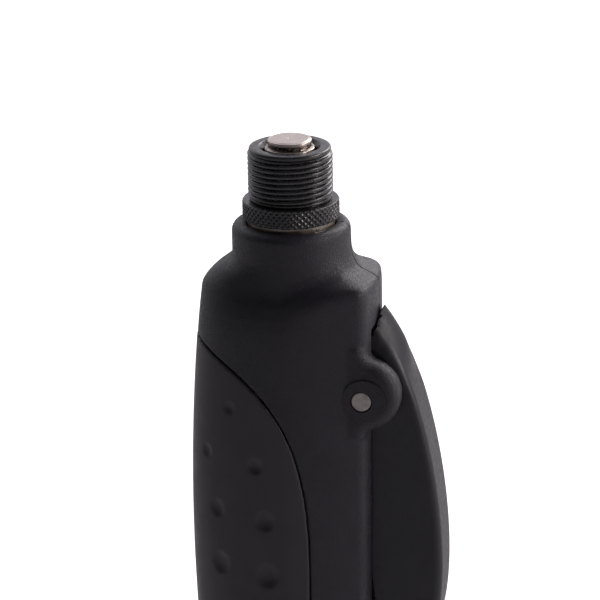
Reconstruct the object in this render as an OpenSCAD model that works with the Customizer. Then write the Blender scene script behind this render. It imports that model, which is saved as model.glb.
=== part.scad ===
// Hand-held CO2 tyre inflator with a squeeze lever.
// It stands on its screw cap: the origin is the centre of the cap's flat face,
// +Z runs up to the outlet, and the lever is on the +X side.

/* [Casing] */
// Height of the flat top of the neck
neck_top_z = 141.5; // [141:0.1:142]
// Radius of the round neck
neck_r = 11.2; // [11:0.1:11.6]
// Height at which the casing ends above the cap
case_bottom_z = 14; // [14:0.1:14.4]
// Reach of the palm side at its fullest
palm_reach = 19.8; // [19.6:0.1:20.4]
// Height of the fullest point of the palm side
palm_z = 84; // [80:1:87]
// Reach of the lever side under the neck
front_reach = 16.6; // [16.5:0.1:16.8]
// Half thickness of the casing across the parting plane
side_reach = 13.6; // [13.6:0.1:13.8]
// Height where the shoulders leave the neck
shoulder_z = 135.6; // [135.2:0.1:136]

/* [Lever] */
// Distance of the lever pin from the body's axis
pin_x = 14.6; // [14.5:0.05:14.7]
// Height of the lever pin
pin_z = 110.25; // [110.15:0.05:110.35]
// Radius of the lever pin
pin_r = 1.95; // [1.8:0.05:1.95]
// Width of the lever
lever_w = 12.2; // [11.8:0.1:12.2]
// Wall thickness of the lever
lever_wall = 1.7; // [1.5:0.1:1.9]
// Height of the lever's lower tip
lever_tip_z = 38; // [37:0.5:42]
// Rounding of the lever's outer edges
lever_edge_r = 1.6; // [1:0.1:1.6]

/* [Outlet] */
// Crest diameter of the outlet thread
thread_d = 16; // [15.8:0.1:16]
// Pitch of the outlet thread
thread_pitch = 1; // [0.8:0.05:1]
// Height of the first thread crest
thread_z0 = 147.3; // [147.2:0.1:147.4]
// Number of thread crests
thread_turns = 9; // [7:1:9]
// Radius of the knurled collar
collar_r = 9.13; // [8.8:0.01:9.3]

/* [Gas cartridge] */
// Radius of the gas cartridge
cartridge_r = 10.9; // [10.5:0.1:10.9]
// Outer radius of the cartridge tube
tube_r = 12.1; // [12.1:0.05:12.15]
// Bore radius of the cartridge tube
tube_bore_r = 11.15; // [11.15:0.05:11.2]
// Radius of the screw cap
cap_r = 13.4; // [13.3:0.1:13.6]
// Height of the screw cap
cap_h = 13.7; // [13:0.1:13.7]

/* [Grip] */
// Thickness of the rubber palm grip at the palm
grip_t = 2; // [1.6:0.1:2]
// Thickness of the rubber palm grip at the sides
grip_side_t = 0.7; // [0.6:0.05:0.75]
// Gap round the edge of the palm grip
grip_gap = 0.35; // [0.2:0.05:0.5]

/* [Hidden] */
$fn = 64;

// Heights of the inner parts, from the cap upwards
cap_floor = 3;
pad_top_z = 5;
cartridge_top_z = 93.8;
cartridge_neck_z = 86;
cartridge_shoulder_z = 71;
cartridge_neck_r = 4.3;
cartridge_wall = 1.2;
tube_bottom_z = 4.2;
tube_top_z = 98;
tube_thread_top_z = 12.6;
cap_pitch = 1.5;
spigot_bottom_z = 91;
flange_top_z = 101;
barrel_top_z = 134;
ring_top_z = 143;
gasket_top_z = 95;
lance_top_z = 100;
lance_tip_z = 92;

// Radii of the valve body
barrel_r = 9;
ring_r = 8.2;
fit = 0.05;

// The valve stands upright beside the axis, above the lever's finger
stem_x = 2.5;
stem_r = 1.2;
stem_tip_z = pin_z + 1.22;
window_low_z = 108.2;
window_top_z = 113.6;
low_chamber_z = [118, 121];
low_chamber_r = 2.4;
stem_groove_z = [115, 116];
stem_groove_r = 2.25;
seat_z = 122.4;
seat_r = 1.9;
high_chamber_r = 3;
plug_z = 131.5;
seal_t = 1;
head_t = 2;
head_r = 2.5;

// Outlet nozzle and its plunger
collar_top_z = 145.9;
bead_r = 7.7;
nozzle_bottom_z = 135.5;
nozzle_top_z = 156.6;
spigot_r = 5.95;
nozzle_neck_r = 5.7;
nozzle_seat_r = 7;
nozzle_seat_h = 1.3;
lower_bore_r = 4.2;
web_z = [147.5, 149.5];
web_bore_r = 2.56;
mouth_r = 5.2;
plunger_top_z = 158;
shank_r = 2.5;
foot_z = [144.6, 146.4];

// Slot for the lever
slot_half = 6.5;
slot_floor_z = 33;
slot_roof_z = 122.3;
slot_roof_x = 15.3;
slot_back_x = 8.6;
ear_r = 7;
ear_round = 2.4;
ear_face = 11.05;
boss_r = 4.1;
boss_face = 11.4;
pin_half = 11.2;

// Case screws: distance from the axis, height, and depth of the head from the parting plane
screws = [[-14.5, 58, 2], [-15.1, 82, 2], [-14.6, 105, 2], [-13.2, 122.8, 4], [12.9, 127.2, 5]];
screw_head_h = 1.4;
screw_head_r = 1.75;
screw_r = 1;
screw_reach = 4.4;

// A cubic curve through four control points
function bezier(p, t) = pow(1 - t, 3) * p[0] + 3 * pow(1 - t, 2) * t * p[1]
    + 3 * (1 - t) * t * t * p[2] + pow(t, 3) * p[3];
function bezier_slope(p, t) = 3 * pow(1 - t, 2) * (p[1] - p[0]) + 6 * (1 - t) * t * (p[2] - p[1])
    + 3 * t * t * (p[3] - p[2]);
function smooth_step(t) = let (u = min(1, max(0, t))) u * u * (3 - 2 * u);
function mix(a, b, t) = a + t * (b - a);

// ---- Outer shape of the casing ----
// Share of the way from the neck (0) to the full body (1), for the three sides of the shoulder
function palm_share(z) = 1 - pow(1 - min(1, max(0, (shoulder_z + 0.1 - z) / 6.2)), 1.6);
function side_share(z) = smooth_step((shoulder_z - 3.1 - z) / 5);
function front_share(z) = 0.29 * smooth_step((shoulder_z + 1.3 - z) / 3.8)
    + 0.71 * smooth_step((shoulder_z - 2 - z) / 0.8);
// Reach of the full body on its three sides
function palm_full(z) = palm_reach - pow(z - palm_z, 2) / 782;
function side_full(z) = side_reach - pow(z - 85, 2) / 20000;
function front_full(z) = front_reach - 0.0125 * max(0, 125 - z) - 1.3 * pow(max(0, 50 - z) / 36, 2);

// Quarter of the plan section on the lever side, from the middle of the front round to the side:
// a slightly arched front, a rounded corner and a long side
plan_reach = [16.6, 13.6];
plan_quarter = concat(
    [for (a = [0 : 4 : 12]) [plan_reach[0] - 40 * (1 - cos(a)), 40 * sin(a)]],
    [for (i = [1 : 5]) let (a = 78 - 11.6 * i) [12.79 + 3 * sin(a), 7.69 + 3 * cos(a)]],
    [for (x = [11.8, 9.4, 6.8, 4, 0]) [x, plan_reach[1] - 0.043 * pow(x, 1.628)]]
);
// Point p of that quarter at height z, moved inwards by inset along both axes
function front_point(z, p, inset) = let (a = atan2(p[1], p[0])) [
    mix((neck_r - inset[0]) * cos(a), (front_full(z) - inset[0]) * p[0] / plan_reach[0], front_share(z)),
    mix((neck_r - inset[1]) * sin(a), (side_full(z) - inset[1]) * p[1] / plan_reach[1], side_share(z)),
    z
];
// Point of the palm side at height z, in direction a
function palm_point(z, a, inset) = let (
    power = 2 / (2 + 0.2 * side_share(z)),
    x = mix(neck_r, palm_full(z), palm_share(z)) - inset[0],
    y = mix(neck_r, side_full(z), side_share(z)) - inset[1]
) [-x * pow(abs(cos(a)), power), y * sign(sin(a)) * pow(abs(sin(a)), power), z];

// Outline of the casing at height z
function case_ring(z, inset) = let (quarter = [for (p = plan_quarter) front_point(z, p, inset)]) concat(
    quarter,
    [for (i = [1 : 23]) palm_point(z, 90 + 7.5 * i, inset)],
    [for (i = [len(quarter) - 1 : -1 : 1]) [quarter[i][0], -quarter[i][1], z]]
);

// Rounded rim of the neck: depth under its top and inset, up to the edge of the opening
neck_rim = [[1.7, 0], [1.25, 0.1], [0.9, 0.4], [0.7, 0.9], [0, 2.6]];
// Rings through the shoulders: depth under shoulder_z, closest together at the ledge over the lever
shoulder_drops = [8.1, 6.6, 5.6, 4.6, 3.6, 3, 2.8, 2.6, 2.4, 2.2, 2, 1.6, 1.2, 0.8, 0.4, 0,
    -0.4, -0.8, -1.2, -1.8];
shoulder_low_z = 126;
body_steps = 7;
// Rings of the outline: height and inset
case_rings = concat(
    [for (i = [0 : body_steps]) [mix(case_bottom_z, shoulder_low_z, i / body_steps), 0]],
    [for (d = shoulder_drops) [shoulder_z - d, 0]],
    [for (r = neck_rim) [neck_top_z - r[0], r[1]]]
);

// Solid between rings of equal point count, closed by flat ends
module rings_solid(rings) {
    n = len(rings[0]);
    m = len(rings);
    polyhedron(
        points = [for (r = rings) each r],
        faces = concat(
            [[for (j = [0 : n - 1]) j]],
            [for (i = [0 : m - 2], j = [0 : n - 1])
                [i * n + j, (i + 1) * n + j, (i + 1) * n + (j + 1) % n]],
            [for (i = [0 : m - 2], j = [0 : n - 1])
                [i * n + j, (i + 1) * n + (j + 1) % n, i * n + (j + 1) % n]],
            [[for (j = [n - 1 : -1 : 0]) (m - 1) * n + j]]
        )
    );
}

// The whole casing as one body, its walls moved inwards by inset
module casing(inset = [0, 0]) {
    rings_solid([for (r = case_rings) case_ring(r[0], [r[1], r[1]] + inset)]);
}

// ---- Palm grip outline, seen from the side ----
grip_curve = [[-17.5, 119.8], [1, 111.7], [4.45, 97.7], [4.45, 76]];
grip_steps = 14;
module grip_region(grow) {
    upper = [for (i = [0 : grip_steps])
        bezier(grip_curve, i / grip_steps) + [grow, grow * (1 - i / grip_steps)]];
    lower = [for (i = [grip_steps - 1 : -1 : 0]) [upper[i][0], 2 * grip_curve[3][1] - upper[i][1]]];
    back = palm_reach + 4;
    rotate([90, 0, 0])
        linear_extrude(60, center = true)
            polygon(concat([[-back, 120.2 + grow]], upper, lower, [[-back, 31.8 - grow]]));
}

// ---- Lever outline, seen from the side ----
lever_upper = [[17.4, 124], [26.2, 112.5], [31.2, 80.3], [27.75, 64.8]];
lever_lower = [[27.75, 64.8], [26.2, 57.6], [23.6, 49], [21.6, lever_tip_z]];
upper_steps = 18;
lower_steps = 8;
// Points of the outer face with the direction pointing into the lever
function inward(p, t) = let (d = bezier_slope(p, t)) [d[1], -d[0]] / norm(d);
outer_face = concat(
    [for (i = [0 : upper_steps]) let (t = i / upper_steps) [bezier(lever_upper, t), inward(lever_upper, t)]],
    [for (i = [1 : lower_steps]) let (t = i / lower_steps) [bezier(lever_lower, t), inward(lever_lower, t)]]
);
inner_edge = [[19.1, lever_tip_z], [12.7, 100], [11.4, 104], [11.4, 117.8], [15.1, 121.8]];
// Side outline of the lever with its outer face sunk by d, and by more than d at the upper end
function sink(p, d) = p[0] + d * (1 + 0.6 * smooth_step((p[0][1] - 112) / 10)) * p[1];
function lever_outline(d) = concat([for (p = outer_face) sink(p, d)], inner_edge);

module lever_blank() {
    half = lever_w / 2;
    edge = [for (a = [0 : 22.5 : 90]) [half - lever_edge_r * (1 - cos(a)), lever_edge_r * (1 - sin(a))]];
    layers = concat(
        [for (e = edge) [-e[0], e[1]]],
        [for (i = [len(edge) - 1 : -1 : 0]) [edge[i][0], edge[i][1]]]
    );
    rings_solid([for (l = layers) [for (p = lever_outline(l[1])) [p[0], l[0], p[1]]]]);
}

// ---- Small shapes used by several parts ----
// A cylinder along Y, centred on the parting plane
module cross_cylinder(x, z, r, length) {
    translate([x, 0, z])
        rotate([90, 0, 0])
            cylinder(r = r, h = length, center = true);
}

module ring(r, section_r, z) {
    translate([0, 0, z])
        rotate_extrude()
            translate([r, 0])
                circle(section_r, $fn = 24);
}

// Round wire coil between two heights, its turns worked out point by point
module coil(r, wire_r, low, high, turns) {
    steps = turns * 16;
    sides = 6;
    rings_solid([for (i = [0 : steps])
        [for (j = [0 : sides - 1])
            let (
                a = 360 * turns * i / steps,
                b = -360 * j / sides,
                z = low + wire_r + (high - low - 2 * wire_r) * i / steps,
                d = r + wire_r * 0.98 * cos(b)
            ) [d * cos(a), d * sin(a), z + wire_r * 0.98 * sin(b)]]]);
}

// ---- Casing ----
function arc_points(c, r, from, to, first, last, n) = [for (i = [first : last])
    let (a = mix(from, to, i / n)) c + r * [cos(a), sin(a)]];
// Side outline of an ear and the fillets at its root, its edge moved inwards by d
function ear_outline(d) = let (c = [pin_x + 0.15, pin_z + 0.35]) concat(
    [c + [-2.25, 10.4]],
    arc_points(c + 9 * [cos(73.2), sin(73.2)], 2 + d, 180, 253.2, 0, 4, 4),
    arc_points(c, ear_r - d, 73.2, -75.7, 1, 9, 10),
    arc_points(c + 8.5 * [cos(75.7), -sin(75.7)], 1.5 + d, 104.3, 180, 0, 4, 4),
    [c + [-2.25, -10.1]]
);

// Ear and boss that carry one end of the lever pin
module ear(side) {
    layers = concat([[5, 0]], [for (a = [0 : 15 : 90])
        [ear_face - ear_round * (1 - sin(a)), ear_round * (1 - cos(a))]]);
    n = len(layers) - 1;
    rings_solid([for (i = [0 : n]) let (l = layers[side < 0 ? n - i : i])
        [for (p = ear_outline(l[1])) [p[0], side * l[0], p[1]]]]);
    translate([pin_x, 0, pin_z])
        rotate([-90 * side, 0, 0])
            cylinder(r = boss_r, h = boss_face);
}

module slot() {
    far_x = 32;
    rotate([90, 0, 0])
        linear_extrude(2 * slot_half, center = true)
            polygon([[slot_back_x, slot_floor_z], [far_x, slot_floor_z - 5],
                [far_x, slot_roof_z + far_x - slot_roof_x], [slot_roof_x, slot_roof_z],
                [slot_back_x, slot_roof_z]]);
}

// Room for the tube, the valve body and the screws
module case_hollow() {
    translate([0, 0, case_bottom_z - 1])
        cylinder(r = tube_r + fit, h = flange_top_z + fit - case_bottom_z + 1);
    cylinder(r = barrel_r + fit, h = barrel_top_z + fit);
    cylinder(r = ring_r + fit, h = neck_top_z + 1);
    cross_cylinder(pin_x, pin_z, pin_r + 0.08, 40);
    for (s = screws) {
        translate([s[0], 0, s[1]])
            rotate([90, 0, 0]) {
                translate([0, 0, -s[2] - 1])
                    cylinder(r = screw_r + fit, h = s[2] + screw_reach + 2);
                translate([0, 0, -30])
                    cylinder(r = screw_head_r + 0.15, h = 30 - s[2]);
            }
    }
}

// side is -1 for the right shell and 1 for the left shell
module shell(side) {
    difference() {
        union() {
            intersection() {
                casing();
                translate([-30, side < 0 ? -30 : 0, 0])
                    cube([60, 30, 150]);
            }
            ear(side);
        }
        // Spot face round the end of the pin
        translate([pin_x, 0, pin_z])
            rotate([-90 * side, 0, 0])
                translate([0, 0, boss_face])
                    cylinder(r = boss_r + 0.1, h = 5);
        case_hollow();
        slot();
        difference() {
            grip_region(grip_gap);
            casing([grip_t, grip_side_t]);
        }
    }
}

module right_shell() {
    color([0.14, 0.14, 0.15])
        shell(-1);
}

module left_shell() {
    color([0.14, 0.14, 0.15])
        shell(1);
}

module palm_grip() {
    color([0.17, 0.16, 0.17])
        intersection() {
            grip_region(0);
            difference() {
                casing();
                casing([grip_t, grip_side_t]);
            }
        }
}

module shell_screws() {
    color([0.5, 0.5, 0.52])
        for (s = screws) {
            translate([s[0], s[2], s[1]])
                rotate([-90, 0, 0])
                    difference() {
                        union() {
                            cylinder(r = screw_head_r, h = screw_head_h);
                            translate([0, 0, -s[2] - screw_reach])
                                cylinder(r = screw_r, h = s[2] + screw_reach + 0.01);
                        }
                        for (a = [0, 90])
                            rotate(a)
                                translate([-1.1, -0.25, screw_head_h - 0.8])
                                    cube([2.2, 0.5, 1]);
                    }
        }
}

// ---- Lever ----
module trigger_lever() {
    half = lever_w / 2;
    inner_half = half - lever_wall;
    finger_h = 2.4;
    finger_w = 4.6;
    finger_tip_x = 1.3;
    color([0.15, 0.15, 0.16])
        difference() {
            union() {
                difference() {
                    lever_blank();
                    rotate([90, 0, 0])
                        linear_extrude(2 * inner_half, center = true)
                            polygon(concat(
                                [for (p = outer_face) if (p[0][1] > lever_tip_z + 2 && p[0][1] < 120.5)
                                    p[0] + lever_wall * p[1]],
                                [[10, lever_tip_z + 2.5], [10, 119]]
                            ));
                }
                cross_cylinder(pin_x, pin_z, 3.6, lever_w);
                translate([finger_tip_x, -finger_w / 2, pin_z - finger_h / 2])
                    cube([pin_x - finger_tip_x, finger_w, finger_h]);
            }
            cross_cylinder(pin_x, pin_z, pin_r, 40);
        }
}

module lever_pin() {
    color([0.66, 0.63, 0.6])
        cross_cylinder(pin_x, pin_z, pin_r, 2 * pin_half);
}

// ---- Valve ----
module valve_body() {
    drill_r = 0.8;
    low_drill_y = 4.4;
    high_drill_x = -4.5;
    low_cross_z = 119.5;
    high_cross_z = 124.5;
    bottom_cross_z = 101.6;
    color([0.75, 0.72, 0.66])
        difference() {
            rotate_extrude()
                polygon([[0, spigot_bottom_z], [tube_bore_r - fit, spigot_bottom_z],
                    [tube_bore_r - fit, tube_top_z], [tube_r, tube_top_z], [tube_r, flange_top_z],
                    [barrel_r, flange_top_z], [barrel_r, barrel_top_z], [ring_r, barrel_top_z],
                    [ring_r, ring_top_z], [0, ring_top_z]]);
            // Outlet chamber and the seat of its sealing ring
            translate([0, 0, barrel_top_z])
                cylinder(r = spigot_r + fit, h = 10);
            translate([0, 0, ring_top_z - nozzle_seat_h])
                cylinder(r = nozzle_seat_r, h = 2 * nozzle_seat_h);
            // Socket of the cartridge neck, then the thread of the piercing pin
            translate([0, 0, spigot_bottom_z - 1])
                cylinder(r = cartridge_neck_r + 0.3, h = gasket_top_z - spigot_bottom_z + 1);
            cylinder(r = 2.5, h = lance_top_z);
            cylinder(r = drill_r, h = bottom_cross_z);
            // High-pressure way up to the valve chamber
            translate([high_drill_x, 0, bottom_cross_z - drill_r])
                cylinder(r = drill_r, h = high_cross_z - bottom_cross_z + 2 * drill_r);
            translate([high_drill_x, 0, bottom_cross_z])
                rotate([0, 90, 0])
                    cylinder(r = drill_r, h = -high_drill_x + 0.5);
            translate([high_drill_x, 0, high_cross_z])
                rotate([0, 90, 0])
                    cylinder(r = drill_r, h = stem_x - high_drill_x - 2);
            // Low-pressure way round the valve to the outlet
            translate([stem_x, 0, low_cross_z])
                rotate([-90, 0, 0])
                    cylinder(r = drill_r, h = low_drill_y);
            translate([stem_x, low_drill_y, low_cross_z - drill_r])
                cylinder(r = drill_r, h = 20);
            // Window for the lever's finger
            translate([0.6, -2.7, window_low_z])
                cube([12, 5.4, window_top_z - window_low_z]);
            // Stepped bore of the valve, drilled from the outlet chamber
            translate([stem_x, 0, 0]) {
                translate([0, 0, window_top_z - 1])
                    cylinder(r = stem_r + fit, h = 10);
                translate([0, 0, low_chamber_z[0]])
                    cylinder(r = low_chamber_r, h = low_chamber_z[1] - low_chamber_z[0]);
                translate([0, 0, low_chamber_z[0]])
                    cylinder(r = seat_r, h = 6);
                translate([0, 0, seat_z])
                    cylinder(r = high_chamber_r, h = 20);
                translate([0, 0, stem_groove_z[0]])
                    cylinder(r = stem_groove_r, h = stem_groove_z[1] - stem_groove_z[0]);
            }
        }
}

module valve_stem() {
    dome_r = 1.6;
    color([0.8, 0.8, 0.82])
        translate([stem_x, 0, 0]) {
            intersection() {
                translate([0, 0, stem_tip_z + dome_r])
                    sphere(dome_r);
                translate([0, 0, stem_tip_z - 1])
                    cylinder(r = stem_r, h = 2);
            }
            translate([0, 0, stem_tip_z + 0.9])
                cylinder(r = stem_r, h = seat_z + seal_t + head_t + 1.5 - stem_tip_z - 0.9);
            translate([0, 0, seat_z + seal_t])
                cylinder(r = head_r, h = head_t);
        }
}

module valve_seal() {
    color([0.1, 0.1, 0.1])
        translate([stem_x, 0, seat_z])
            difference() {
                cylinder(r = head_r, h = seal_t);
                translate([0, 0, -1])
                    cylinder(r = stem_r, h = seal_t + 2);
            }
}

module stem_o_ring() {
    section_r = (stem_groove_r - stem_r - fit) / 2;
    color([0.1, 0.1, 0.1])
        translate([stem_x, 0, 0])
            ring(stem_groove_r - section_r, section_r, (stem_groove_z[0] + stem_groove_z[1]) / 2);
}

module valve_spring() {
    color([0.75, 0.75, 0.77])
        translate([stem_x, 0, 0])
            coil(2, 0.3, seat_z + seal_t + head_t, plug_z, 6);
}

module spring_plug() {
    color([0.78, 0.7, 0.45])
        translate([stem_x, 0, plug_z])
            difference() {
                cylinder(r = high_chamber_r, h = barrel_top_z - plug_z);
                translate([-0.4, -4, barrel_top_z - plug_z - 0.8])
                    cube([0.8, 8, 2]);
            }
}

module piercing_pin() {
    needle_r = 1.1;
    color([0.82, 0.82, 0.84])
        difference() {
            rotate_extrude()
                polygon([[0, lance_tip_z], [0.5, lance_tip_z], [needle_r, lance_tip_z + 1.4],
                    [needle_r, gasket_top_z], [2.5, gasket_top_z], [2.5, lance_top_z], [0, lance_top_z]]);
            translate([0, 0, lance_tip_z - 1])
                cylinder(r = 0.45, h = lance_top_z - lance_tip_z + 2);
        }
}

module cartridge_gasket() {
    color([0.12, 0.12, 0.12])
        translate([0, 0, cartridge_top_z])
            difference() {
                cylinder(r = cartridge_neck_r + 0.3, h = gasket_top_z - cartridge_top_z);
                translate([0, 0, -1])
                    cylinder(r = 1.1, h = 5);
            }
}

// ---- Outlet ----
module outlet_nozzle() {
    crest_r = thread_d / 2;
    root_r = crest_r - 0.55;
    crest = 0.3;
    bead_z = collar_top_z + 0.5;
    lip_r = 7.1;
    outer = concat(
        [[spigot_r - 0.3, nozzle_bottom_z], [spigot_r, nozzle_bottom_z + 0.3],
            [spigot_r, ring_top_z - nozzle_seat_h], [nozzle_neck_r, ring_top_z - nozzle_seat_h],
            [nozzle_neck_r, ring_top_z],
            [collar_r - 0.3, ring_top_z], [collar_r, ring_top_z + 0.3],
            [collar_r, collar_top_z - 0.3], [collar_r - 0.3, collar_top_z], [root_r, collar_top_z]],
        [for (a = [-80 : 20 : 80]) [bead_r - 0.3 + 0.3 * cos(a), bead_z + 0.42 * sin(a)]],
        [for (i = [0 : thread_turns - 1]) let (z = thread_z0 + i * thread_pitch)
            each [[root_r, z - 0.4], [crest_r, z - crest / 2], [crest_r, z + crest / 2], [root_r, z + 0.4]]],
        [for (a = [0 : 15 : 90]) [lip_r + 0.6 * cos(a), nozzle_top_z - 0.9 * (1 - sin(a))]],
        [[mouth_r + 0.7, nozzle_top_z], [mouth_r, nozzle_top_z - 0.8], [mouth_r, web_z[1]],
            [web_bore_r, web_z[1]], [web_bore_r, web_z[0]], [lower_bore_r, web_z[0]],
            [lower_bore_r, nozzle_bottom_z]]
    );
    color([0.12, 0.12, 0.13])
        rotate_extrude($fn = 96)
            polygon(outer);
}

module nozzle_o_ring() {
    section_r = nozzle_seat_h / 2 - 0.01;
    color([0.1, 0.1, 0.1])
        ring((nozzle_neck_r + nozzle_seat_r) / 2, section_r, ring_top_z - nozzle_seat_h / 2);
}

module outlet_plunger() {
    top_r = 4.2;
    rim_r = 4.7;
    bevel = 0.45;
    color([0.76, 0.73, 0.7])
        difference() {
            rotate_extrude()
                polygon([[0, foot_z[0] - 0.4], [1.5, foot_z[0] - 0.4], [1.5, foot_z[1]],
                    [shank_r, foot_z[1]], [shank_r, 151.7], [3.6, 151.7], [3.6, 155.5], [rim_r, 155.5],
                    [rim_r, 156.2], [top_r, 156.4], [top_r, plunger_top_z - bevel],
                    [top_r - bevel, plunger_top_z], [0.5, plunger_top_z], [0, plunger_top_z - 0.3]]);
            for (a = [0, 120, 240])
                rotate(a)
                    translate([shank_r + 0.25, 0, foot_z[1] + 0.4])
                        cylinder(r = 0.7, h = 4.4);
        }
}

module plunger_foot() {
    color([0.78, 0.7, 0.45])
        translate([0, 0, foot_z[0]])
            difference() {
                cylinder(r = 3.7, h = foot_z[1] - foot_z[0]);
                translate([0, 0, -1])
                    cylinder(r = 1.5, h = 5);
            }
}

module plunger_o_ring() {
    color([0.1, 0.1, 0.1])
        ring(3.1, 0.54, (foot_z[1] + web_z[0]) / 2);
}

module plunger_spring() {
    color([0.75, 0.75, 0.77])
        coil(2.6, 0.35, barrel_top_z, foot_z[0], 7);
}

// ---- Cartridge and cap ----
module cartridge_tube() {
    root_r = tube_r - 0.5;
    turns = 5;
    vent_z = tube_bottom_z + 0.9 + 2.5 * cap_pitch;
    vent_r = 0.5;
    color([0.62, 0.63, 0.65])
        difference() {
            rotate_extrude($fn = 96)
                polygon(concat(
                    [[tube_bore_r, tube_bottom_z], [root_r, tube_bottom_z]],
                    [for (i = [0 : turns - 1]) let (z = tube_bottom_z + 0.9 + i * cap_pitch)
                        each [[root_r, z - 0.5], [tube_r, z - 0.15], [tube_r, z + 0.15], [root_r, z + 0.5]]],
                    [[root_r, tube_thread_top_z - 0.4], [tube_r, tube_thread_top_z], [tube_r, tube_top_z],
                        [tube_bore_r, tube_top_z]]
                ));
            // Vent that lets the pressure go before the cap is off
            translate([0, 0, vent_z])
                rotate([0, -90, 0])
                    cylinder(r = vent_r, h = 20);
        }
}

// Height of the cartridge's domed base at distance r from the axis
base_h = 7;
function cartridge_base(r) = pad_top_z + base_h * (1 - sqrt(1 - pow(r / cartridge_r, 2)));
// Outline of the steel cartridge, moved inwards by t
function cartridge_outline(t) = concat(
    [for (a = [-90 : 10 : 0]) [(cartridge_r - t) * cos(a), pad_top_z + base_h + (base_h - t) * sin(a)]],
    [for (i = [0 : 10]) let (u = i / 10) [
        cartridge_r - t - (cartridge_r - cartridge_neck_r) * smooth_step(u),
        cartridge_shoulder_z + (cartridge_neck_z - cartridge_shoulder_z) * u]]
);

module co2_cartridge() {
    color([0.7, 0.7, 0.72])
        rotate_extrude()
            polygon(concat(
                cartridge_outline(0),
                [[cartridge_neck_r, cartridge_top_z - 0.5], [cartridge_neck_r - 0.5, cartridge_top_z],
                    [1.3, cartridge_top_z], [1.3, cartridge_top_z - 1.5], [cartridge_neck_r - cartridge_wall,
                    cartridge_top_z - 1.5]],
                [for (i = [len(cartridge_outline(0)) - 1 : -1 : 0]) cartridge_outline(cartridge_wall)[i]]
            ));
}

module cap_pad() {
    pad_dish_r = 5;
    color([0.2, 0.2, 0.2])
        translate([0, 0, cap_floor])
            rotate_extrude()
                polygon(concat(
                    [[9, 0], [9, pad_top_z + 1 - cap_floor]],
                    [for (r = [pad_dish_r : -1 : 0]) [r, cartridge_base(r) - cap_floor - fit]],
                    [[0, 0]]
                ));
}

module bottom_cap() {
    flute_r = 1.3;
    flute_depth = 0.35;
    flutes = 18;
    foot_round = 1.5;
    color([0.13, 0.13, 0.14])
        difference() {
            rotate_extrude($fn = 96)
                polygon(concat(
                    [[0, 0]],
                    [for (a = [-90 : 15 : 0])
                        [cap_r - foot_round + foot_round * cos(a), foot_round + foot_round * sin(a)]],
                    [[cap_r, cap_h - 0.5], [cap_r - 0.5, cap_h], [tube_r + fit, cap_h],
                        [tube_r + fit, cap_floor], [0, cap_floor]]
                ));
            for (i = [0 : flutes - 1])
                rotate(360 * i / flutes)
                    translate([cap_r + flute_r - flute_depth, 0, 2.6])
                        cylinder(r = flute_r, h = 9);
        }
}

right_shell();
left_shell();
palm_grip();
shell_screws();
trigger_lever();
lever_pin();
valve_body();
valve_stem();
valve_seal();
stem_o_ring();
valve_spring();
spring_plug();
piercing_pin();
cartridge_gasket();
outlet_nozzle();
nozzle_o_ring();
outlet_plunger();
plunger_foot();
plunger_o_ring();
plunger_spring();
cartridge_tube();
co2_cartridge();
cap_pad();
bottom_cap();
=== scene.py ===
import math

import bmesh
import bpy
from mathutils import Matrix, Vector


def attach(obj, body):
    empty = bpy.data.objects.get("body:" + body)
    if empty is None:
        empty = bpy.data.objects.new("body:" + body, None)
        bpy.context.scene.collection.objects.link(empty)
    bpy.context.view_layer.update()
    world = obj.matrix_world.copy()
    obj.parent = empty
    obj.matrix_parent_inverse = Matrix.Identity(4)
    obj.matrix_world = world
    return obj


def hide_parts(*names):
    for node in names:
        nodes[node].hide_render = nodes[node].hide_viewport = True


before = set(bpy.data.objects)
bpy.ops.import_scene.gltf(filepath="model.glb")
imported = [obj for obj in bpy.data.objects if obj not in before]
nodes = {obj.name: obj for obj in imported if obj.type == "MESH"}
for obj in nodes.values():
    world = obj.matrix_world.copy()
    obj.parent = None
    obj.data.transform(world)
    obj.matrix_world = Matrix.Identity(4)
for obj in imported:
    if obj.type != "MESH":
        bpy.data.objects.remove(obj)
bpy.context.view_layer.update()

# ---- Valve body ----
# The core of the inflator, turned from brass bar, drilled, and nickel plated. The casing's
# shells clamp it by its flange, and its top collar shows as a thin bright ring on the neck.


def new_finish(name, colour, roughness, metallic=0.0, specular=0.5):
    """A material and its shader; what is the same all over sits on the shader's own sockets."""
    material = bpy.data.materials.new(name)
    material.use_nodes = True
    shader = material.node_tree.nodes["Principled BSDF"]
    shader.inputs["Base Color"].default_value = (*colour, 1)
    shader.inputs["Roughness"].default_value = roughness
    shader.inputs["Metallic"].default_value = metallic
    shader.inputs["Specular IOR Level"].default_value = specular
    return material, material.node_tree, shader


def speckle(tree, size, detail=2.0):
    """Noise on the object's own coordinates, with features of about that size in metres."""
    place = tree.nodes.new("ShaderNodeTexCoord")
    texture = tree.nodes.new("ShaderNodeTexNoise")
    texture.inputs["Scale"].default_value = 1 / size
    texture.inputs["Detail"].default_value = detail
    tree.links.new(place.outputs["Object"], texture.inputs["Vector"])
    return texture.outputs["Fac"]


def axis_parts(tree):
    """Distance from the object's axis and height above its foot, as two sockets in metres."""
    place = tree.nodes.new("ShaderNodeTexCoord")
    split = tree.nodes.new("ShaderNodeSeparateXYZ")
    flat = tree.nodes.new("ShaderNodeCombineXYZ")
    reach = tree.nodes.new("ShaderNodeVectorMath")
    reach.operation = "LENGTH"
    tree.links.new(place.outputs["Object"], split.inputs["Vector"])
    tree.links.new(split.outputs["X"], flat.inputs["X"])
    tree.links.new(split.outputs["Y"], flat.inputs["Y"])
    tree.links.new(flat.outputs["Vector"], reach.inputs[0])
    return reach.outputs["Value"], split.outputs["Z"]


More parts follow.
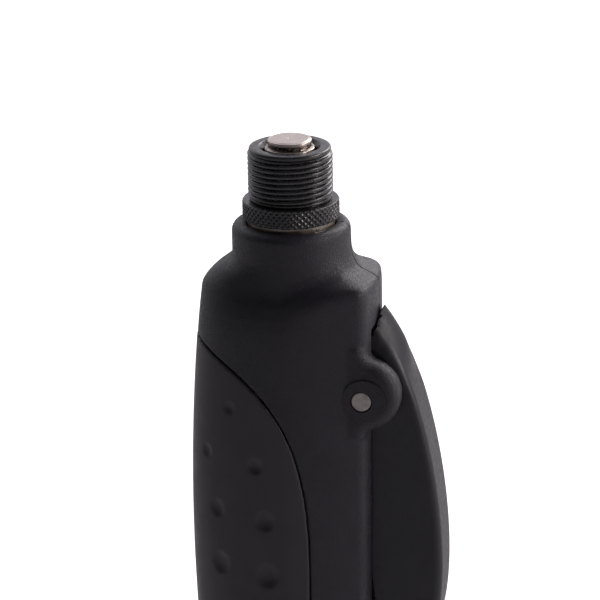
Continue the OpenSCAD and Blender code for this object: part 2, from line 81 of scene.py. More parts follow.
def tool_lines(tree, size):
    """Fine rings that a lathe leaves, on the sides and on the faces alike."""
    reach, height = axis_parts(tree)
    both = tree.nodes.new("ShaderNodeMath")
    both.operation = "ADD"
    tree.links.new(reach, both.inputs[0])
    tree.links.new(height, both.inputs[1])
    texture = tree.nodes.new("ShaderNodeTexNoise")
    texture.noise_dimensions = "1D"
    texture.inputs["Scale"].default_value = 1 / size
    texture.inputs["Detail"].default_value = 3
    tree.links.new(both.outputs["Value"], texture.inputs["W"])
    return texture.outputs["Fac"]


def raise_surface(tree, shader, height, depth):
    """Bump of that depth in metres, laid over any bump that the shader already has."""
    bump = tree.nodes.new("ShaderNodeBump")
    bump.inputs["Distance"].default_value = depth
    bump.inputs["Strength"].default_value = 1
    tree.links.new(height, bump.inputs["Height"])
    if shader.inputs["Normal"].links:
        tree.links.new(shader.inputs["Normal"].links[0].from_socket, bump.inputs["Normal"])
    tree.links.new(bump.outputs["Normal"], shader.inputs["Normal"])


def graded(tree, value, low, high, stops):
    """A colour that follows a value between low and high, through the given stops."""
    ramp = tree.nodes.new("ShaderNodeValToRGB")
    span = tree.nodes.new("ShaderNodeMapRange")
    span.inputs["From Min"].default_value = low
    span.inputs["From Max"].default_value = high
    tree.links.new(value, span.inputs["Value"])
    tree.links.new(span.outputs["Result"], ramp.inputs["Fac"])
    elements = ramp.color_ramp.elements
    elements[0].position, elements[0].color = stops[0][0], (*stops[0][1], 1)
    elements[1].position, elements[1].color = stops[-1][0], (*stops[-1][1], 1)
    for position, colour in stops[1:-1]:
        elements.new(position).color = (*colour, 1)
    return ramp.outputs["Color"]


def varied(tree, shader, socket, value, low, high):
    """Lets one of the shader's inputs wander between two values with a noise."""
    span = tree.nodes.new("ShaderNodeMapRange")
    span.inputs["From Min"].default_value = 0.3
    span.inputs["From Max"].default_value = 0.7
    span.inputs["To Min"].default_value = low
    span.inputs["To Max"].default_value = high
    tree.links.new(value, span.inputs["Value"])
    tree.links.new(span.outputs["Result"], shader.inputs[socket])


def machined(name, light, dark, roughness, line_depth):
    """Turned metal: tool lines, and a tint that drifts from place to place."""
    material, tree, shader = new_finish(name, light, roughness, metallic=1.0)
    tint = graded(tree, speckle(tree, 0.004), 0.35, 0.65, [(0, dark), (1, light)])
    tree.links.new(tint, shader.inputs["Base Color"])
    varied(tree, shader, "Roughness", speckle(tree, 0.0011), roughness * 0.75, roughness * 1.3)
    raise_surface(tree, shader, tool_lines(tree, 0.00022), line_depth)
    return material


def dress(name, material):
    """Gives a CAD node that stays in view its finish."""
    nodes[name].data.materials.clear()
    nodes[name].data.materials.append(material)


nickel_plate = machined("nickel_plate", (0.7, 0.63, 0.54), (0.56, 0.5, 0.42), 0.36, 0.000012)
dress("valve_body", nickel_plate)

# ---- Valve stem, its seal, ring, spring and plug ----
# A ground steel stem with a rubber face seal. The lever's finger lifts it off its seat against
# a stainless spring, which a slotted brass plug holds down from the outlet chamber.

ground_steel = machined("ground_steel", (0.6, 0.58, 0.56), (0.5, 0.48, 0.46), 0.28, 0.000008)
plain_brass = machined("plain_brass", (0.72, 0.53, 0.24), (0.58, 0.4, 0.17), 0.3, 0.00001)
spring_wire = machined("spring_wire", (0.55, 0.54, 0.53), (0.44, 0.43, 0.42), 0.3, 0.000006)


def moulded_rubber(name, colour, roughness, grain, depth):
    """Black rubber with a dusty bloom: fine grain, and a grey that shows at its rims."""
    material, tree, shader = new_finish(name, colour, roughness, specular=0.3)
    pale = tuple(1.5 * c for c in colour)
    tint = graded(tree, speckle(tree, 0.006, 4), 0.35, 0.7, [(0, colour), (1, pale)])
    tree.links.new(tint, shader.inputs["Base Color"])
    shader.inputs["Sheen Weight"].default_value = 0.06
    shader.inputs["Sheen Roughness"].default_value = 0.4
    raise_surface(tree, shader, speckle(tree, grain, 3), depth)
    return material


seal_rubber = moulded_rubber("seal_rubber", (0.012, 0.012, 0.012), 0.5, 0.0003, 0.00001)
dress("valve_stem", ground_steel)
dress("spring_plug", plain_brass)
dress("valve_spring", spring_wire)
for seal in ("valve_seal", "stem_o_ring"):
    dress(seal, seal_rubber)

# ---- Piercing pin and gasket ----
# A hollow steel needle, screwed into the valve body from below. It opens the cartridge, and a
# rubber gasket round it seals against the cartridge's neck.

dress("piercing_pin", ground_steel)
dress("cartridge_gasket", seal_rubber)

# ---- Outlet nozzle ----
# Turned from aluminium bar and anodised black: a spigot that screws into the valve body over a
# rubber ring, a knurled collar, a rounded undercut, and a fine male thread of one millimetre.

MM = 0.001
nozzle_foot = 135.5
nozzle_bore_r = 4.2
spigot_r = 5.95
spigot_top = 141.7
ring_groove_r = 5.7
collar_r = 9.0
collar_low = 143.0
collar_top = 146.35
knurl_low = 143.25
knurl_top = 146.1
knurl_r = 8.86
knurl_depth = 0.3
knurl_starts = 48
knurl_rows = 26
undercut_r = 7.3
bead_r = 7.72
bead_low = collar_top + 0.14
thread_low = 147.05
thread_top = 155.7
thread_root = 7.55
thread_depth = 0.45
thread_pitch = 1.0
thread_start = 0.3
thread_rows = 112
mouth_r = 7.72
mouth_bore_r = 5.85
chamber_r = 5.2
chamber_floor = 149.5
plunger_hole_r = 2.56
plunger_web_low = 147.5
nozzle_top = 156.6
nozzle_steps = 384


def rounded_outline(corners, arc=5):
    """Rounds the corners of a closed outline, each given as two coordinates and a radius."""
    points = []
    for i, (u, v, radius) in enumerate(corners):
        corner = Vector((u, v))
        if radius == 0:
            points.append(corner)
            continue
        back = Vector(corners[i - 1][:2]) - corner
        ahead = Vector(corners[(i + 1) % len(corners)][:2]) - corner
        reach = radius / math.tan(back.angle(ahead) / 2)
        start = corner + back.normalized() * min(reach, back.length * 0.48)
        end = corner + ahead.normalized() * min(reach, ahead.length * 0.48)
        for k in range(arc + 1):
            t = k / arc
            points.append(start * (1 - t) ** 2 + corner * 2 * t * (1 - t) + end * t * t)
    return points


def turned(outline, steps):
    """A bmesh spun once round the axis from a closed outline of (distance, height) points."""
    bm = bmesh.new()
    verts = [bm.verts.new((r, 0, z)) for r, z in outline]
    edges = [bm.edges.new(pair) for pair in zip(verts, verts[1:] + verts[:1])]
    edges = [e for e in edges if max(v.co.x for v in e.verts) > 1e-6]
    turn = dict(cent=(0, 0, 0), axis=(0, 0, 1), angle=2 * math.pi, steps=steps, use_merge=True)
    bmesh.ops.spin(bm, geom=verts + edges, **turn)
    bmesh.ops.remove_doubles(bm, verts=bm.verts, dist=1e-4)
    loose = [e for e in bm.edges if not e.link_faces]
    bmesh.ops.delete(bm, geom=loose, context="EDGES")
    bmesh.ops.recalc_face_normals(bm, faces=bm.faces)
    return bm


def new_object(name, bm):
    """Ends a bmesh as an object in the scene, still drawn in millimetres."""
    mesh = bpy.data.meshes.new(name)
    bm.to_mesh(mesh)
    bm.free()
    piece = bpy.data.objects.new(name, mesh)
    bpy.context.scene.collection.objects.link(piece)
    return piece


def settle(piece, body, node, material, crease=None):
    """Brings a finished piece to metres, smooths it, and fits it to the frame."""
    piece.data.transform(Matrix.Scale(MM, 4))
    piece.data.shade_smooth()
    if crease is not None:
        piece.data.set_sharp_from_angle(angle=math.radians(crease))
        weighted = piece.modifiers.new("even_shading", "WEIGHTED_NORMAL")
        weighted.keep_sharp = True
    piece.data.materials.clear()
    piece.data.materials.append(material)
    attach(piece, body)
    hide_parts(node)


def between(low, high, count):
    """Evenly spaced values from low to high."""
    return [low + (high - low) * i / count for i in range(count + 1)]


def wave(t):
    """A triangle wave: 0 at whole numbers and 1 halfway between them."""
    return 1 - abs(2 * (t % 1) - 1)


def eased(t):
    """A smooth step from 0 to 1."""
    u = min(1, max(0, t))
    return u * u * (3 - 2 * u)


# The outline from the foot to the mouth and back through the bore; rows for the knurl and thread
foot = rounded_outline([(nozzle_bore_r, nozzle_foot, 0), (spigot_r, nozzle_foot, 0.3),
                        (spigot_r, spigot_top, 0), (ring_groove_r, spigot_top, 0),
                        (ring_groove_r, collar_low, 0), (collar_r, collar_low, 0.2)])
knurl_band = [Vector((knurl_r, z)) for z in between(knurl_low, knurl_top, knurl_rows)]
undercut = rounded_outline([(collar_r, knurl_top, 0), (collar_r, collar_top, 0.16),
                            (undercut_r, collar_top, 0), (undercut_r, bead_low, 0.05),
                            (bead_r, bead_low, 0.4), (bead_r, thread_low, 0.4),
                            (thread_root, thread_low, 0)])[1:]
thread_band = [Vector((thread_root, z)) for z in between(thread_low, thread_top, thread_rows)][1:]
mouth = rounded_outline([(thread_root - 0.1, thread_top, 0), (mouth_r, nozzle_top - 0.85, 0.1),
                         (mouth_r, nozzle_top, 0.8), (mouth_bore_r, nozzle_top, 0.35),
                         (chamber_r, nozzle_top - 1, 0.2), (chamber_r, chamber_floor, 0),
                         (plunger_hole_r, chamber_floor, 0), (plunger_hole_r, plunger_web_low, 0),
                         (nozzle_bore_r, plunger_web_low, 0)])[1:]
bm = turned(foot[:-1] + knurl_band + undercut + thread_band + mouth, nozzle_steps)
for v in bm.verts:
    reach = math.hypot(v.co.x, v.co.y)
    turn = math.atan2(v.co.y, v.co.x) / (2 * math.pi)
    height = v.co.z
    if abs(reach - knurl_r) < 0.02 and knurl_low - 0.01 < height < knurl_top + 0.01:
        lean = height * knurl_starts / (2 * math.pi * collar_r)
        crossing = min(wave(knurl_starts * turn + lean), wave(knurl_starts * turn - lean))
        grown = knurl_depth * min(1, 1.25 * crossing)
    elif abs(reach - thread_root) < 0.02 and thread_low < height <= thread_top:
        rise = 1 - (1 - wave(height / thread_pitch - turn - thread_start)) ** 3.2
        ends = min(eased((height - thread_low) / 0.35), eased((thread_top - height) / 0.3))
        grown = thread_depth * rise * ends
    else:
        continue
    v.co.x *= 1 + grown / reach
    v.co.y *= 1 + grown / reach
nozzle = new_object("outlet_nozzle_turned", bm)

black_anodised, tree, shader = new_finish("black_anodised", (0.011, 0.01, 0.012), 0.3, specular=0.75)
tint = graded(tree, speckle(tree, 0.0012, 4), 0.3, 0.75,
              [(0, (0.007, 0.007, 0.008)), (1, (0.02, 0.018, 0.019))])
tree.links.new(tint, shader.inputs["Base Color"])
varied(tree, shader, "Roughness", speckle(tree, 0.0007, 3), 0.2, 0.42)
raise_surface(tree, shader, tool_lines(tree, 0.00018), 0.000012)
raise_surface(tree, shader, speckle(tree, 0.0002), 0.000006)
settle(nozzle, "casing", "outlet_nozzle", black_anodised, crease=50)
dress("nozzle_o_ring", seal_rubber)

# ---- Outlet plunger, its foot, ring and spring ----
# A turned, nickel-plated steel button that shuts the outlet by itself. It has a bright face with
# a small centre mark, a groove round its side coloured darker and speckled, a brass foot and a rubber
# ring below.

plunger_low = 144.2
plunger_top = 158.0
screw_end_r = 1.5
screw_end_top = 146.4
stem_r = 2.5
stem_top = 151.7
plunger_neck_r = 3.6
plunger_rim_r = 4.68
plunger_rim_low = 155.5
plunger_rim_top = 156.35
plunger_face_r = 4.15
plunger_face_low = 157.3
groove_band_low = 156.3
groove_band_top = 157.4
plunger_corners = [(0, plunger_low, 0), (screw_end_r, plunger_low, 0.1), (screw_end_r, screw_end_top, 0),
                   (stem_r, screw_end_top, 0), (stem_r, stem_top, 0), (plunger_neck_r, stem_top, 0.1),
                   (plunger_neck_r, plunger_rim_low, 0), (plunger_rim_r, plunger_rim_low, 0.1),
                   (plunger_rim_r, plunger_rim_top, 0.22), (4.12, 156.5, 0.1), (4.02, 157.1, 0.05),
                   (plunger_face_r, plunger_face_low, 0.08), (plunger_face_r, 157.82, 0.2)]
# A fine ring near the edge of the face, then the small mark at its centre
plunger_corners += [(3.78, plunger_top - 0.03, 0.04), (3.68, plunger_top - 0.07, 0.03),
                    (3.58, plunger_top, 0.03), (0.45, plunger_top - 0.02, 0.1),
                    (0.18, plunger_top - 0.13, 0.06), (0, plunger_top - 0.14, 0)]
plunger = new_object("outlet_plunger_turned", turned(rounded_outline(plunger_corners), 128))

plunger_metal, tree, shader = new_finish("plunger_metal", (0.68, 0.63, 0.58), 0.34, metallic=1.0)
height = axis_parts(tree)[1]
# A mask for the band round the side groove, which is coloured darker than the rest of the metal
groove = graded(tree, height, groove_band_low * MM, groove_band_top * MM,
                [(0, (0, 0, 0)), (0.25, (1, 1, 1)), (0.75, (1, 1, 1)), (1, (0, 0, 0))])
bright = graded(tree, speckle(tree, 0.0016, 5), 0.3, 0.7,
                [(0, (0.54, 0.48, 0.43)), (1, (0.68, 0.61, 0.55))])
# The groove's band: a darker, speckled colour
groove_band_colour = graded(tree, speckle(tree, 0.00032, 4), 0.36, 0.66,
                 [(0, (0.03, 0.024, 0.02)), (0.5, (0.12, 0.09, 0.07)), (1, (0.5, 0.44, 0.38))])
mix = tree.nodes.new("ShaderNodeMix")
mix.data_type = "RGBA"
tree.links.new(groove, mix.inputs["Factor"])
tree.links.new(bright, mix.inputs["A"])
tree.links.new(groove_band_colour, mix.inputs["B"])
tree.links.new(mix.outputs["Result"], shader.inputs["Base Color"])
varied(tree, shader, "Roughness", speckle(tree, 0.0006, 3), 0.26, 0.46)
raise_surface(tree, shader, speckle(tree, 0.00025, 3), 0.00001)
settle(plunger, "plunger", "outlet_plunger", plunger_metal, crease=40)
dress("plunger_foot", plain_brass)
dress("plunger_spring", spring_wire)
dress("plunger_o_ring", seal_rubber)

# ---- Cartridge tube ----
# Drawn aluminium tube, screwed up against the valve body's flange. Its lower end carries the
# cap's thread and a vent, and it shows inside the slot behind the lever.

drawn_tube = machined("drawn_tube", (0.55, 0.55, 0.56), (0.46, 0.46, 0.47), 0.38, 0.00001)
dress("cartridge_tube", drawn_tube)

# ---- Casing shells ----
# Two halves moulded in black glass-filled nylon with a fine spark-eroded grain, parted in the
# lever's plane. Each carries an ear for the lever's pin, half of the slot and half of the neck.

neck_r = 11.2
neck_rim_r = 1.65
neck_rim_z = 140.4
neck_rim_turn = 126
case_bottom = 14.0
palm_reach = 19.8
palm_height = 84.0
palm_bow = 782
palm_shoulder = 135.7
palm_shoulder_drop = 6.2
front_reach = 16.6
front_arch_r = 40
front_taper = 0.0125
front_tuck = 1.3
side_reach = 13.6
side_middle = 85
side_bow = 20000
corner_r = 3
corner_centre = (12.79, 7.69)
ledge_turn = 36
ledge_drop = 4
ledge_brow = 132.7
ledge_stretch = 2.2
pin_x = 14.6
pin_z = 110.25
boss_x = 15.05
boss_z = 110.4
boss_r = 4.1
boss_face = 11.4
pin_hole_r = 2.05
ear_centre = Vector((14.75, 110.9))
ear_r = 7.0
ear_round = 2.4
ear_face = 11.05
ear_root = -8.75
upper_fillet_r = 3.2
upper_fillet_turn = 68.1
lower_fillet_r = 1.5
lower_fillet_turn = 75.7
tube_room_r = 12.15
valve_room_r = 9.05
valve_room_low = 101.05
valve_room_top = 134.05
neck_bore_r = 8.2
neck_bore_top = 140.6
neck_mouth_r = 8.55
slot_half = 6.5
slot_floor = 33.0
slot_roof = 122.3
slot_back = 8.6
slot_roof_x = 15.3
slot_far = 32
# A recess's place (x, z) and its seat's distance from the lever's plane
screw_places = [(-13.2, 122.8, 4), (12.9, 127.2, 5)]
screw_recess_r = 1.9
palm_steps = 88
case_voxel = 0.3
case_triangles = 180000


def on_arc(centre, radius, start, end, count):
    """Points of an arc in a plane, its angles given in degrees."""
    angles = [math.radians(a) for a in between(start, end, count)]
    return [Vector(centre) + radius * Vector((math.cos(a), math.sin(a))) for a in angles]


def palm_x(z):
    """How far the palm side stands from the axis: a bowed back, rounded over at its shoulder."""
    t = min(1, max(0, (palm_shoulder - z) / palm_shoulder_drop))
    share = (1 - (1 - t) ** 1.6) * (1 - 0.3 * max(0, 1 - t / 0.35))
    return neck_r + share * (palm_reach - (z - palm_height) ** 2 / palm_bow - neck_r)


# How far the ledge over the lever stands out of the neck, by its height in the lever's plane
ledge = [(138.5, 0), (136.8, 0.02), (135.4, 0.07), (134.0, 0.21), (133.0, 0.4), (132.4, 0.64),
         (131.9, 0.83), (131.3, 0.94), (130.6, 0.985), (129.5, 1)]


def ledge_share(z, x, y):
    """The body's share of the outline at a height, towards a point of the plan section.

    Away from the lever's plane the ledge sinks, and its lower half is drawn out longer."""
    turn = max(0, (math.degrees(math.atan2(y, x)) - ledge_turn) / (90 - ledge_turn))
    z += ledge_drop * turn ** 1.7
    if z < ledge_brow:
        z = ledge_brow - (ledge_brow - z) / (1 + ledge_stretch * turn ** 1.5)
    for (high, a), (low, b) in zip(ledge, ledge[1:]):
        if low < z <= high:
            return a + (b - a) * (high - z) / (high - low)
    return float(z <= ledge[-1][0])


def side_share(z):
    """The body's share at the middle of the casing's side."""
    return ledge_share(z, 0, 1)


def side_depth(z):
    """Half of the body's width at a height, as if it had no neck."""
    return side_reach - (z - side_middle) ** 2 / side_bow


def side_y(z):
    """Half of the casing's width at a height."""
    return neck_r + side_share(z) * (side_depth(z) - neck_r)


def side_fall(x):
    """How far the side has come in from its widest, by the distance in front of the axis."""
    return 0.043 * x ** 1.628


# A quarter of the plan section on the lever side: an arched front, a rounded corner, a long side
plan_quarter = on_arc((front_reach - front_arch_r, 0), front_arch_r, 0, 12, 8)
plan_quarter += on_arc(corner_centre, corner_r, 12, 70, 14)[1:]
plan_quarter += [Vector((x, side_reach - side_fall(x))) for x in between(13.82, 0, 22)[1:]]


def case_ring(z, inset):
    """The casing's outline at a height, moved inwards by an inset along X and one along Y."""
    reach = front_reach - front_taper * max(0, 125 - z) - front_tuck * (max(0, 50 - z) / 36) ** 2
    depth = side_depth(z)
    ring = []
    for p in plan_quarter:
        across = p.normalized()
        share = ledge_share(z, p.x, p.y)
        x = (neck_r - inset[0]) * across.x * (1 - share) + (reach - inset[0]) * p.x / front_reach * share
        y = (neck_r - inset[1]) * across.y * (1 - share) + (depth - inset[1]) * p.y / side_reach * share
        ring.append(Vector((x, y, z)))
    power = 2 / (2 + 0.2 * side_share(z))
    palm = []
    for a in between(math.pi / 2, 3 * math.pi / 2, palm_steps)[1:-1]:
        c, s = math.cos(a), math.sin(a)
        palm.append(Vector(((inset[0] - palm_x(z)) * abs(c) ** power,
                            math.copysign((side_y(z) - inset[1]) * abs(s) ** power, s), z)))
    return ring + palm + [Vector((p.x, -p.y, z)) for p in reversed(ring[1:])]


def case_solid(inset):
    """The casing as one closed body: a grid wrapped round its outline, level by level."""
    levels = [(z, 0) for z in between(case_bottom, 126, 50) + between(126, 138, 60)[1:]]
    levels += [(neck_rim_z + neck_rim_r * math.sin(t), neck_rim_r * (1 - math.cos(t)))
               for t in between(0, math.radians(neck_rim_turn), 16)]
    rings = [case_ring(z, (inset[0] + sunk, inset[1] + sunk)) for z, sunk in levels]
    sides, rows = len(rings[0]), len(rings) - 1
    bm = bmesh.new()
    bmesh.ops.create_grid(bm, x_segments=sides, y_segments=rows, size=0.5)
    for v in bm.verts:
        v.co = rings[round((v.co.y + 0.5) * rows)][round((v.co.x + 0.5) * sides) % sides]
    bmesh.ops.remove_doubles(bm, verts=bm.verts, dist=1e-3)
    bmesh.ops.holes_fill(bm, edges=bm.edges, sides=0)
    bmesh.ops.recalc_face_normals(bm, faces=bm.faces)
    return bm


def stacked(layers):
    """A solid through side outlines (x, z), each at its own distance from the parting plane."""
    bm = bmesh.new()
    rows = [[bm.verts.new((x, y, z)) for x, z in outline] for y, outline in layers]
    for low, high in zip(rows, rows[1:]):
        for i in range(len(low)):
            bm.faces.new((low[i - 1], low[i], high[i], high[i - 1]))
    bm.faces.new(rows[0])
    bm.faces.new(rows[-1])
    bmesh.ops.recalc_face_normals(bm, faces=bm.faces)
    return bm


def prism(outline, half):
    """A plate with that side outline, from -half to half across the parting plane."""
    return stacked([(-half, outline), (half, outline)])


def cross_rod(x, z, radius, low, high, segments=64):
    """A round rod along Y between two distances from the parting plane."""
    bm = bmesh.new()
    bmesh.ops.create_cone(bm, cap_ends=True, segments=segments, radius1=radius, radius2=radius,
                          depth=high - low)
    bmesh.ops.rotate(bm, cent=(0, 0, 0), matrix=Matrix.Rotation(math.pi / 2, 3, "X"), verts=bm.verts)
    bmesh.ops.translate(bm, vec=(x, (low + high) / 2, z), verts=bm.verts)
    return bm


def apply_steps(piece):
    """Turns a piece's modifiers into its mesh."""
    view = bpy.context.evaluated_depsgraph_get()
    done = bpy.data.meshes.new_from_object(piece.evaluated_get(view))
    before = piece.data
    piece.modifiers.clear()
    piece.data = done
    bpy.data.meshes.remove(before)


def combine(piece, tool_bm, operation="DIFFERENCE"):
    """Cuts a tool from a piece, joins it on, or keeps what they share."""
    tool = new_object("tool", tool_bm)
    step = piece.modifiers.new("step", "BOOLEAN")
    step.operation = operation
    step.object = tool
    step.solver = "EXACT"
    apply_steps(piece)
    bpy.data.objects.remove(tool)
    bm = bmesh.new()
    bm.from_mesh(piece.data)
    bmesh.ops.remove_doubles(bm, verts=bm.verts, dist=1e-4)
    bmesh.ops.dissolve_degenerate(bm, edges=bm.edges, dist=1e-4)
    bm.to_mesh(piece.data)
    bm.free()


def bezier(points, t):
    """A point of the cubic curve through four control points in a plane."""
    a, b, c, d = (Vector(p) for p in points)
    return a * (1 - t) ** 3 + b * 3 * t * (1 - t) ** 2 + c * 3 * t * t * (1 - t) + d * t ** 3


grip_curve = [(-17.5, 119.8), (1, 111.7), (4.45, 97.7), (4.45, 76)]
grip_middle = grip_curve[3][1]
grip_depth = (2.0, 0.7)


def grip_outline(grow, steps=36):
    """The palm grip's side outline, moved outwards by grow."""
    upper = [bezier(grip_curve, t) + Vector((grow, grow * (1 - t))) for t in between(0, 1, steps)]
    lower = [Vector((p.x, 2 * grip_middle - p.y)) for p in reversed(upper[:-1])]
    return [Vector((-24, 120.2 + grow))] + upper + lower + [Vector((-24, 31.8 - grow))]


def remeshed(piece, voxel, passes):
    """Rebuilds a piece with even faces, whose edges come out with a small moulded radius."""
    step = piece.modifiers.new("even_faces", "REMESH")
    step.mode = "VOXEL"
    step.voxel_size = voxel
    apply_steps(piece)
    soft = piece.modifiers.new("soft", "SMOOTH")
    soft.factor = 0.5
    soft.iterations = passes
    apply_steps(piece)


def thinned(piece, triangles):
    """Takes away faces where the surface is plain, down to a number of triangles."""
    count = sum(len(p.vertices) - 2 for p in piece.data.polygons)
    if count > triangles:
        step = piece.modifiers.new("thinned", "DECIMATE")
        step.ratio = triangles / count
        apply_steps(piece)


def ear_outline(sunk):
    """An ear and the fillets at its root, seen from the side, its edge moved inwards."""
    up, down = upper_fillet_turn, -lower_fillet_turn
    upper = on_arc(ear_centre, ear_r + upper_fillet_r, up, up, 1)[0]
    lower = on_arc(ear_centre, ear_r + lower_fillet_r, down, down, 1)[0]
    return ([ear_centre + Vector((ear_root, 10.4))]
            + on_arc(upper, upper_fillet_r + sunk, 180, 180 + up, 12)
            + on_arc(ear_centre, ear_r - sunk, up, down, 28)[1:-1]
            + on_arc(lower, lower_fillet_r + sunk, 180 + down, 180, 10)
            + [ear_centre + Vector((ear_root, -10.1))])


# One half, on the side y < 0
bm = case_solid((0, 0))
whole = bm.verts[:] + bm.edges[:] + bm.faces[:]
bmesh.ops.bisect_plane(bm, geom=whole, plane_co=(0, 0, 0), plane_no=(0, 1, 0), clear_outer=True)
bmesh.ops.holes_fill(bm, edges=bm.edges, sides=0)
bmesh.ops.recalc_face_normals(bm, faces=bm.faces)
half = new_object("half", bm)
ear_layers = [(-5, ear_outline(0))]
for a in between(0, math.pi / 2, 9):
    outline = ear_outline(ear_round * (1 - math.cos(a)))
    ear_layers.append((ear_round * (1 - math.sin(a)) - ear_face, outline))
combine(half, stacked(ear_layers), "UNION")
hollow_corners = [(0, 10, 0), (tube_room_r, 10, 0), (tube_room_r, valve_room_low, 0),
                  (valve_room_r, valve_room_low, 0), (valve_room_r, valve_room_top, 0),
                  (neck_bore_r, valve_room_top, 0), (neck_bore_r, neck_bore_top, 0),
                  (neck_mouth_r, neck_bore_top + 0.35, 0), (neck_mouth_r, 145, 0), (0, 145, 0)]
combine(half, turned(rounded_outline(hollow_corners), 128))
combine(half, prism([(slot_back, slot_floor), (slot_far, slot_floor - 5),
                     (slot_far, slot_roof + slot_far - slot_roof_x), (slot_roof_x, slot_roof),
                     (slot_back, slot_roof)], slot_half))
pocket = new_object("pocket", prism(grip_outline(0.25), 30))
combine(pocket, case_solid(grip_depth))
bm = bmesh.new()
bm.from_mesh(pocket.data)
bpy.data.objects.remove(pocket)
combine(half, bm)
remeshed(half, case_voxel, 3)
thinned(half, case_triangles)
combine(half, cross_rod(boss_x, boss_z, boss_r + 0.1, -30, -boss_face))
combine(half, cross_rod(boss_x, boss_z, boss_r, -boss_face, -8), "UNION")
combine(half, cross_rod(pin_x, pin_z, pin_hole_r, -30, 30))

# The other half is its mirror image, with the recesses of the case screws that show
bm = bmesh.new()
bm.from_mesh(half.data)
bmesh.ops.scale(bm, vec=(1, -1, 1), verts=bm.verts)
bmesh.ops.recalc_face_normals(bm, faces=bm.faces)
other_half = new_object("left_shell_moulded", bm)
half.name = "right_shell_moulded"
for x, z, seat in screw_places:
    combine(other_half, cross_rod(x, z, screw_recess_r, seat, 30))

nylon, tree, shader = new_finish("grained_nylon", (0.016, 0.0145, 0.0215), 0.46, specular=0.45)
tint = graded(tree, speckle(tree, 0.009, 4), 0.3, 0.7,
              [(0, (0.0135, 0.0122, 0.0185)), (1, (0.0185, 0.017, 0.0245))])
tree.links.new(tint, shader.inputs["Base Color"])
varied(tree, shader, "Roughness", speckle(tree, 0.00045, 3), 0.34, 0.56)
raise_surface(tree, shader, speckle(tree, 0.0002, 1), 0.00012)
raise_surface(tree, shader, speckle(tree, 0.0009, 2), 0.00002)
for piece, node in ((half, "right_shell"), (other_half, "left_shell")):
    settle(piece, "casing", node, nylon, crease=40)

# ---- Case screws ----
# Zinc-plated cross-head screws, driven from the left. Three are under the grip, and two show in
# their recesses, one on each side of the neck.

zinc = machined("zinc_plate", (0.5, 0.5, 0.51), (0.38, 0.38, 0.4), 0.36, 0.000006)
dress("shell_screws", zinc)

# ---- Palm grip ----
# A saddle of soft black rubber, moulded to lie in a pocket of both shells, with a thin gap all
# round. Its face has two columns of round dimples on each side, largest at mid height.

dimple_pitch = 11.0
# A column's distance from the grip's front edge, its shift away from the middle, its widest
# dimple, how much each next one is smaller, and how many there are above and below the middle
dimple_columns = [(7.9, -0.4, 4.9, 0.86, 3), (17.3, 1.0, 4.4, 0.9, 2)]
dimple_sink = 0.16
grip_voxel = 0.33
grip_triangles = 170000


def grip_edge_x(z):
    """Where the grip's front edge is at a height."""
    off = abs(z - grip_middle)
    low, high = 0.0, 1.0
    for _ in range(24):
        t = (low + high) / 2
        low, high = (t, high) if bezier(grip_curve, t).y - grip_middle > off else (low, t)
    return bezier(grip_curve, low).x


def case_y(x, z):
    """Distance of the casing's side from the parting plane, on the palm side or just past the middle."""
    if x > 0:
        return side_y(z) * (1 - side_fall(x) / side_reach)
    power = 2 + 0.2 * side_share(z)
    return side_y(z) * (1 - (-x / palm_x(z)) ** power) ** (1 / power)


grip = new_object("palm_grip_moulded", case_solid((-0.08, -0.08)))
combine(grip, prism(grip_outline(0.05), 30), "INTERSECT")
combine(grip, case_solid(grip_depth))
for inset_x, shift, widest, shrink, rows in dimple_columns:
    for k in range(-rows, rows + 1):
        z = grip_middle - 0.3 + dimple_pitch * k + (shift if k >= 0 else -shift)
        x = grip_edge_x(z) - inset_x
        dimple_r = (widest - shrink * abs(k)) / 2
        sink = dimple_sink * dimple_r + 0.12
        ball_r = (dimple_r ** 2 + sink ** 2) / (2 * sink)
        y = case_y(x, z)
        slope = Vector((case_y(x - 0.5, z) - case_y(x + 0.5, z), 1, 0)).normalized()
        for side in (-1, 1):
            normal = Vector((slope.x, side * slope.y, 0))
            centre = Vector((x, side * y, z)) + normal * (ball_r - sink)
            bm = bmesh.new()
            bmesh.ops.create_icosphere(bm, subdivisions=4, radius=ball_r)
            bmesh.ops.translate(bm, vec=centre, verts=bm.verts)
            combine(grip, bm)
remeshed(grip, grip_voxel, 3)
thinned(grip, grip_triangles)

grip_rubber, tree, shader = new_finish("grip_rubber", (0.03, 0.026, 0.034), 0.44, specular=0.45)
tint = graded(tree, speckle(tree, 0.012, 3), 0.3, 0.7,
              [(0, (0.027, 0.0235, 0.031)), (1, (0.034, 0.0295, 0.038))])
tree.links.new(tint, shader.inputs["Base Color"])
varied(tree, shader, "Roughness", speckle(tree, 0.003, 3), 0.42, 0.52)
shader.inputs["Sheen Weight"].default_value = 0.1
shader.inputs["Sheen Roughness"].default_value = 0.4
raise_surface(tree, shader, speckle(tree, 0.00018, 2), 0.000006)
settle(grip, "casing", "palm_grip", grip_rubber)

# ---- Trigger lever ----
# Black nylon, moulded as a channel with rounded outer edges, in a finer grain than the casing.
# A boss across the channel takes the pin, and a finger on it reaches in to lift the valve stem.

lever_half = 6.1
lever_wall = 1.7
lever_edge_r = 1.6
lever_tip = 38.0
lever_upper = [(16.8, 125.0), (26.2, 112.8), (31.05, 80.3), (27.75, 64.8)]
lever_lower = [(27.75, 64.8), (26.2, 57.6), (23.6, 49), (21.6, lever_tip)]
inner_edge = [(19.1, lever_tip), (12.7, 100), (11.4, 104), (11.4, 116)]
lever_roof = 106.85
lever_lip = 2
lever_lip_x = 16.4
lever_crown = 4.2
crown_low = 108
crown_span = 17
hump = 1.1
hump_low = 111
hump_span = 9
lever_boss_r = 3.6
lever_bore_r = 1.95
finger_end = 1.3
finger_rise = 1.2
finger_half = 2.3


